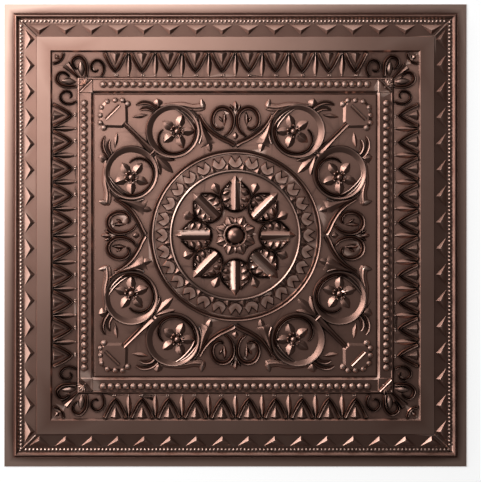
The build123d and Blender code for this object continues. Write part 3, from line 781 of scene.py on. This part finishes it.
def copper_with_painted_light():
    """Satin copper coat with painted shade in the hollows and a painted highlight on the crests."""
    material = bpy.data.materials.new("copper_with_painted_light")
    material.use_nodes = True
    tree = material.node_tree
    links = tree.links
    shader = tree.nodes["Principled BSDF"]
    shader.inputs["Metallic"].default_value = 1.0
    shader.inputs["Roughness"].default_value = 0.34
    place = node(tree, "ShaderNodeTexCoord")
    cloud = node(tree, "ShaderNodeTexNoise")
    cloud.inputs["Scale"].default_value = 14.0
    cloud.inputs["Detail"].default_value = 6.0
    links.new(place.outputs["Object"], cloud.inputs["Vector"])
    coat = ramp(tree, cloud.outputs["Fac"], 0.3, 0.7, COPPER_DARK, COPPER_LIGHT)
    # Painted shade: the coat turns near-black where AO finds the surface occluded, and also where
    # Pointiness finds it concave
    hollow = node(tree, "ShaderNodeAmbientOcclusion", samples=8)
    hollow.inputs["Distance"].default_value = 0.011
    shape = node(tree, "ShaderNodeNewGeometry")
    unshaded_share = node(tree, "ShaderNodeMath", operation="MULTIPLY")
    links.new(ramp(tree, hollow.outputs["AO"], 0.48, 0.95), unshaded_share.inputs[0])
    links.new(ramp(tree, shape.outputs["Pointiness"], 0.38, 0.48), unshaded_share.inputs[1])
    painted_shade_mix = node(tree, "ShaderNodeMix", data_type="RGBA")
    painted_shade_mix.inputs["A"].default_value = PAINTED_SHADE
    links.new(unshaded_share.outputs["Value"], painted_shade_mix.inputs["Factor"])
    links.new(coat, painted_shade_mix.inputs["B"])
    # Painted highlight: the colour turns bright copper on convex crests, read from Pointiness
    painted_highlight_mix = node(tree, "ShaderNodeMix", data_type="RGBA")
    painted_highlight_mix.inputs["B"].default_value = PAINTED_HIGHLIGHT
    links.new(ramp(tree, shape.outputs["Pointiness"], 0.53, 0.59), painted_highlight_mix.inputs["Factor"])
    links.new(painted_shade_mix.outputs["Result"], painted_highlight_mix.inputs["A"])
    links.new(painted_highlight_mix.outputs["Result"], shader.inputs["Base Color"])
    return material


sheet.data.materials.clear()
sheet.data.materials.append(copper_with_painted_light())
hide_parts("tile_sheet")
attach(sheet, "root")


def white_floor():
    """A white floor that shows the tile's shadow."""
    clear_selection()
    bpy.ops.mesh.primitive_plane_add(size=12, location=(0, 0, -0.0004))
    floor = bpy.context.object
    floor.name = "floor"
    settle(floor)
    material = bpy.data.materials.new("white_floor")
    material.use_nodes = True
    tree = material.node_tree
    tree.nodes.clear()
    out = node(tree, "ShaderNodeOutputMaterial")
    soft = node(tree, "ShaderNodeBsdfDiffuse")
    soft.inputs["Color"].default_value = (0.8, 0.8, 0.8, 1)
    glow = node(tree, "ShaderNodeEmission")
    glow.inputs["Strength"].default_value = 0.6
    both = node(tree, "ShaderNodeAddShader")
    paths = node(tree, "ShaderNodeLightPath")
    seen = node(tree, "ShaderNodeMath", operation="MAXIMUM")
    shiny = node(tree, "ShaderNodeMath", operation="MAXIMUM")
    choose = node(tree, "ShaderNodeMixShader")
    tree.links.new(paths.outputs["Is Camera Ray"], seen.inputs[0])
    tree.links.new(paths.outputs["Is Glossy Ray"], shiny.inputs[0])
    tree.links.new(paths.outputs["Is Transmission Ray"], shiny.inputs[1])
    tree.links.new(shiny.outputs[0], seen.inputs[1])
    tree.links.new(soft.outputs[0], both.inputs[0])
    tree.links.new(glow.outputs[0], both.inputs[1])
    tree.links.new(seen.outputs[0], choose.inputs["Fac"])
    tree.links.new(soft.outputs[0], choose.inputs[1])
    tree.links.new(both.outputs[0], choose.inputs[2])
    tree.links.new(choose.outputs[0], out.inputs["Surface"])
    floor.data.materials.append(material)


def softbox(name, place, target, size, radiance):
    """A lamp with a rectangular face of a width and a height, turned to its target."""
    light = bpy.data.lights.new(name, "AREA")
    light.shape = "RECTANGLE"
    light.size, light.size_y = size
    light.energy = radiance * pi * size[0] * size[1]
    lamp = bpy.data.objects.new(name, light)
    bpy.context.collection.objects.link(lamp)
    lamp.location = place
    lamp.rotation_euler = (Vector(target) - Vector(place)).to_track_quat("-Z", "Y").to_euler()


def studio():
    """A wide lamp over the upper left quarter, a low one beyond it for the edges, and a dim world."""
    world = bpy.data.worlds.new("studio")
    bpy.context.scene.world = world
    world.use_nodes = True
    back = world.node_tree.nodes["Background"]
    back.inputs["Color"].default_value = (1, 1, 1, 1)
    back.inputs["Strength"].default_value = 0.06
    softbox("overhead", (-0.62, 0.48, 2.0), (-0.62, 0.48, 0), (1.3, 0.64), 2.3)
    softbox("edge", (-1.8, 1.2, 1.15), (0, 0, 0), (1.6, 1.5), 5.5)
    softbox("left", (-2.3, -0.3, 0.85), (0, 0, 0), (1.8, 1.2), 2.0)
    softbox("top", (-0.3, 2.3, 0.75), (0, 0, 0), (1.8, 1.1), 1.2)


def camera():
    """Straight above the tile, which sits a little up and left in the frame."""
    lens = 120.0
    sensor = 36.0
    face_level = 0.005
    frame_width = 0.6262
    data = bpy.data.cameras.new("camera")
    data.lens = lens
    data.sensor_fit = "HORIZONTAL"
    data.sensor_width = sensor
    holder = bpy.data.objects.new("camera", data)
    bpy.context.collection.objects.link(holder)
    holder.location = (0.0066, -0.0073, face_level + frame_width * lens / sensor)
    bpy.context.scene.camera = holder


white_floor()
studio()
camera()
bpy.context.scene.view_settings.view_transform = "Standard"
